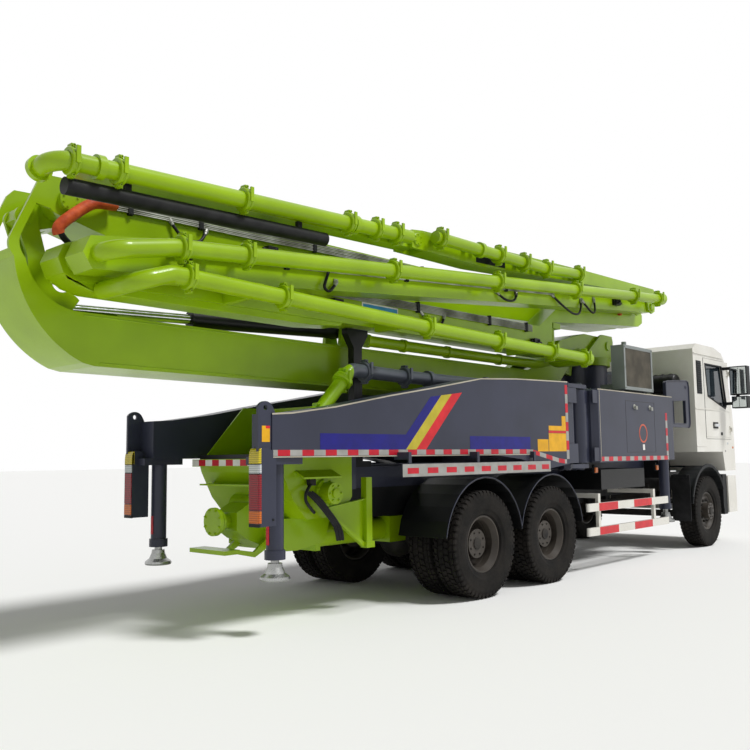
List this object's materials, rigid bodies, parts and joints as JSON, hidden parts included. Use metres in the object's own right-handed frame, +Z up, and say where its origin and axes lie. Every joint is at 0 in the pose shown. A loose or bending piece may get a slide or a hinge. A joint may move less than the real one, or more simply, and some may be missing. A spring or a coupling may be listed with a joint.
{
  "type": "truck-mounted concrete pump",
  "caption": "Concrete pump truck: three-axle chassis and cab, rear hopper and pump, swing-out outriggers and a long folding placing boom with its delivery pipe.",
  "frame": {"origin": "middle of the overall box, on the ground", "axes": "+X forward to the cab, +Y to the left side, +Z up"},
  "size_m": [12.1979, 3.2, 3.985],
  "materials": {
    "frame_paint": "satin black chassis paint",
    "cab_paint": "gloss cream-white cab paint",
    "boom_paint": "gloss lime green paint",
    "slate_paint": "gloss blue-grey paint",
    "tyre_rubber": "matt black tyre rubber",
    "rim_paint": "semi-gloss painted steel wheel",
    "glass": "clear tinted glass",
    "trim_plastic": "grained dark plastic",
    "rod_chrome": "hard chrome on ground steel",
    "black_steel": "semi-matt black paint",
    "bare_steel": "worn bare steel",
    "foot_paint": "silver-white paint",
    "stripe_paint": "white paint with red reflective squares",
    "hose_rubber": "black rubber hose",
    "cast_iron": "dark cast iron"
  },
  "bodies": {
    "chassis": {"frame_rails": "frame_paint", "front_axle": "cast_iron", "rear_axles": "cast_iron", "engine_block": "cast_iron", "cab_shell": "cab_paint", "cab_glass": "glass", "cab_interior": "trim_plastic", "bumper": "cab_paint", "cab_steps": "trim_plastic", "rear_fenders": "black_steel", "side_guards": "stripe_paint", "side_tanks": "black_steel", "air_cleaner": "trim_plastic", "subframe": "slate_paint", "boom_rest": "black_steel", "hopper": "boom_paint", "pump_unit": "boom_paint", "delivery_line": "slate_paint", "oil_cooler": "slate_paint"},
    "agitator": {"agitator": "bare_steel"},
    "hopper_grate": {"hopper_grate": "black_steel"},
    "turret": {"turret": "boom_paint"},
    "arm_1": {"arm_1": "boom_paint"},
    "arm_2": {"arm_2": "boom_paint"},
    "arm_3": {"arm_3": "boom_paint"},
    "arm_4": {"arm_4": "boom_paint"},
    "arm_5": {"arm_5": "boom_paint"},
    "arm_6": {"arm_6": "boom_paint", "end_hose": "hose_rubber"},
    "lift_barrel": {"lift_barrel": "black_steel"},
    "lift_rod": {"lift_rod": "rod_chrome"},
    "fold_barrel": {"fold_barrel": "black_steel"},
    "fold_rod": {"fold_rod": "rod_chrome"},
    "fold_link": {"fold_link": "boom_paint"},
    "knuckle_left": {"knuckle_left": "cast_iron"},
    "front_wheel_left": {"front_tyre_left": "tyre_rubber", "front_rim_left": "rim_paint"},
    "door_left": {"door_left": "cab_paint", "door_glass_left": "glass"},
    "rear_outrigger_left": {"rear_outrigger_left": "slate_paint"},
    "front_outrigger_left": {"front_outrigger_left": "slate_paint"},
    "rear_leg_left": {"rear_leg_left": "foot_paint"},
    "front_leg_left": {"front_leg_left": "foot_paint"},
    "rear_wheel_1_left": {"tyres_1_left": "tyre_rubber", "rims_1_left": "rim_paint"},
    "rear_wheel_2_left": {"tyres_2_left": "tyre_rubber", "rims_2_left": "rim_paint"},
    "knuckle_right": {"knuckle_right": "cast_iron"},
    "front_wheel_right": {"front_tyre_right": "tyre_rubber", "front_rim_right": "rim_paint"},
    "door_right": {"door_right": "cab_paint", "door_glass_right": "glass"},
    "rear_outrigger_right": {"rear_outrigger_right": "slate_paint"},
    "front_outrigger_right": {"front_outrigger_right": "slate_paint"},
    "rear_leg_right": {"rear_leg_right": "foot_paint"},
    "front_leg_right": {"front_leg_right": "foot_paint"},
    "rear_wheel_1_right": {"tyres_1_right": "tyre_rubber", "rims_1_right": "rim_paint"},
    "rear_wheel_2_right": {"tyres_2_right": "tyre_rubber", "rims_2_right": "rim_paint"}
  },
  "joints": [
    {"name": "steer_left", "type": "hinge", "parent": "chassis", "child": "knuckle_left", "pos_m": [4.78, 0.86, 0.55], "axis": [0, 0, 1], "range_deg": [-35, 35]},
    {"name": "front_wheel_left_spin", "type": "hinge", "parent": "knuckle_left", "child": "front_wheel_left", "pos_m": [4.78, 1.05, 0.55], "axis": [0, 1, 0], "continuous": true},
    {"name": "rear_wheel_1_left_spin", "type": "hinge", "parent": "chassis", "child": "rear_wheel_1_left", "pos_m": [-0.05, 0.905, 0.55], "axis": [0, 1, 0], "continuous": true},
    {"name": "rear_wheel_2_left_spin", "type": "hinge", "parent": "chassis", "child": "rear_wheel_2_left", "pos_m": [-1.4, 0.905, 0.55], "axis": [0, 1, 0], "continuous": true},
    {"name": "door_left_hinge", "type": "hinge", "parent": "chassis", "child": "door_left", "pos_m": [5.915, 1.214, 2.3], "axis": [0, 0, -1], "range_deg": [0, 70]},
    {"name": "rear_outrigger_left_swing", "type": "hinge", "parent": "chassis", "child": "rear_outrigger_left", "pos_m": [0.62, 1, 1.8], "axis": [0, 0, -1], "range_deg": [0, 48]},
    {"name": "front_outrigger_left_swing", "type": "hinge", "parent": "chassis", "child": "front_outrigger_left", "pos_m": [0.96, 1, 1.8], "axis": [0, 0, 1], "range_deg": [0, 80]},
    {"name": "rear_leg_left_slide", "type": "slide", "parent": "rear_outrigger_left", "child": "rear_leg_left", "axis": [0, 0, -1], "range_m": [0, 0.55]},
    {"name": "front_leg_left_slide", "type": "slide", "parent": "front_outrigger_left", "child": "front_leg_left", "axis": [0, 0, -1], "range_m": [0, 0.55]},
    {"name": "steer_right", "type": "hinge", "parent": "chassis", "child": "knuckle_right", "pos_m": [4.78, -0.86, 0.55], "axis": [0, 0, 1], "range_deg": [-35, 35]},
    {"name": "front_wheel_right_spin", "type": "hinge", "parent": "knuckle_right", "child": "front_wheel_right", "pos_m": [4.78, -1.05, 0.55], "axis": [0, 1, 0], "continuous": true},
    {"name": "rear_wheel_1_right_spin", "type": "hinge", "parent": "chassis", "child": "rear_wheel_1_right", "pos_m": [-0.05, -0.905, 0.55], "axis": [0, 1, 0], "continuous": true},
    {"name": "rear_wheel_2_right_spin", "type": "hinge", "parent": "chassis", "child": "rear_wheel_2_right", "pos_m": [-1.4, -0.905, 0.55], "axis": [0, 1, 0], "continuous": true},
    {"name": "door_right_hinge", "type": "hinge", "parent": "chassis", "child": "door_right", "pos_m": [5.915, -1.214, 2.3], "axis": [0, 0, 1], "range_deg": [0, 70]},
    {"name": "rear_outrigger_right_swing", "type": "hinge", "parent": "chassis", "child": "rear_outrigger_right", "pos_m": [0.62, -1, 1.8], "axis": [0, 0, 1], "range_deg": [0, 48]},
    {"name": "front_outrigger_right_swing", "type": "hinge", "parent": "chassis", "child": "front_outrigger_right", "pos_m": [0.96, -1, 1.8], "axis": [0, 0, -1], "range_deg": [0, 80]},
    {"name": "rear_leg_right_slide", "type": "slide", "parent": "rear_outrigger_right", "child": "rear_leg_right", "axis": [0, 0, -1], "range_m": [0, 0.55]},
    {"name": "front_leg_right_slide", "type": "slide", "parent": "front_outrigger_right", "child": "front_leg_right", "axis": [0, 0, -1], "range_m": [0, 0.55]},
    {"name": "agitator_spin", "type": "hinge", "parent": "chassis", "child": "agitator", "pos_m": [-3.13, 0, 1.13], "axis": [0, 1, 0], "continuous": true},
    {"name": "hopper_grate_hinge", "type": "hinge", "parent": "chassis", "child": "hopper_grate", "pos_m": [-3.06, 0, 1.476], "axis": [0, 1, 0], "range_deg": [0, 70]},
    {"name": "boom_slew", "type": "hinge", "parent": "chassis", "child": "turret", "pos_m": [2.9, 0, 2.84], "axis": [0, 0, 1], "range_deg": [0, 90]},
    {"name": "boom_lift", "type": "hinge", "parent": "turret", "child": "arm_1", "pos_m": [3.25, 0, 3.12], "axis": [0, 1, 0], "range_deg": [0, 85]},
    {"name": "arm_2_hinge", "type": "hinge", "parent": "arm_1", "child": "arm_2", "pos_m": [-5.55, 0, 3.45], "axis": [0, -1, 0], "range_deg": [0, 180]},
    {"name": "arm_3_hinge", "type": "hinge", "parent": "arm_2", "child": "arm_3", "pos_m": [3.76, 0, 3.59], "axis": [0, 1, 0], "range_deg": [0, 180]},
    {"name": "arm_4_hinge", "type": "hinge", "parent": "arm_3", "child": "arm_4", "pos_m": [-5.64, -0.6, 2.91], "axis": [0, -1, 0], "range_deg": [0, 180]},
    {"name": "arm_5_hinge", "type": "hinge", "parent": "arm_4", "child": "arm_5", "pos_m": [3.56, -0.8, 3.7], "axis": [0, 1, 0], "range_deg": [0, 180]},
    {"name": "arm_6_hinge", "type": "hinge", "parent": "arm_5", "child": "arm_6", "pos_m": [-2.1, -0.8, 3.68], "axis": [0, 1, 0], "range_deg": [0, 110]},
    {"name": "lift_barrel_hinge", "type": "hinge", "parent": "turret", "child": "lift_barrel", "pos_m": [2.3, 0, 2.7], "axis": [0, 1, 0], "range_deg": [0, 110]},
    {"name": "lift_rod_slide", "type": "slide", "parent": "lift_barrel", "child": "lift_rod", "axis": [-0.9843, 0, -0.1767], "range_m": [0, 1.4]},
    {"name": "fold_barrel_hinge", "type": "hinge", "parent": "arm_1", "child": "fold_barrel", "pos_m": [-2.35, 0, 2.8], "axis": [0, 1, 0], "range_deg": [0, 25]},
    {"name": "fold_rod_slide", "type": "slide", "parent": "fold_barrel", "child": "fold_rod", "axis": [0.999, 0, 0.0456], "range_m": [0, 1.1]},
    {"name": "fold_link_hinge", "type": "hinge", "parent": "arm_2", "child": "fold_link", "pos_m": [-5.79, 0, 3.306], "axis": [0, 1, 0], "range_deg": [0, 190]}
  ],
  "couplings": [
    {"joint": "steer_right", "follows": "steer_left", "ratio": 1},
    {"joint": "boom_slew", "follows": "boom_lift", "ratio": 1},
    {"joint": "lift_barrel_hinge", "follows": "boom_lift", "ratio": 1.164},
    {"joint": "lift_rod_slide", "follows": "boom_lift", "m_per_rad": 0.8503},
    {"joint": "fold_barrel_hinge", "follows": "arm_2_hinge", "ratio": 0.02832},
    {"joint": "fold_rod_slide", "follows": "arm_2_hinge", "m_per_rad": 0.12952},
    {"joint": "fold_link_hinge", "follows": "arm_2_hinge", "ratio": 1.0354}
  ]
}
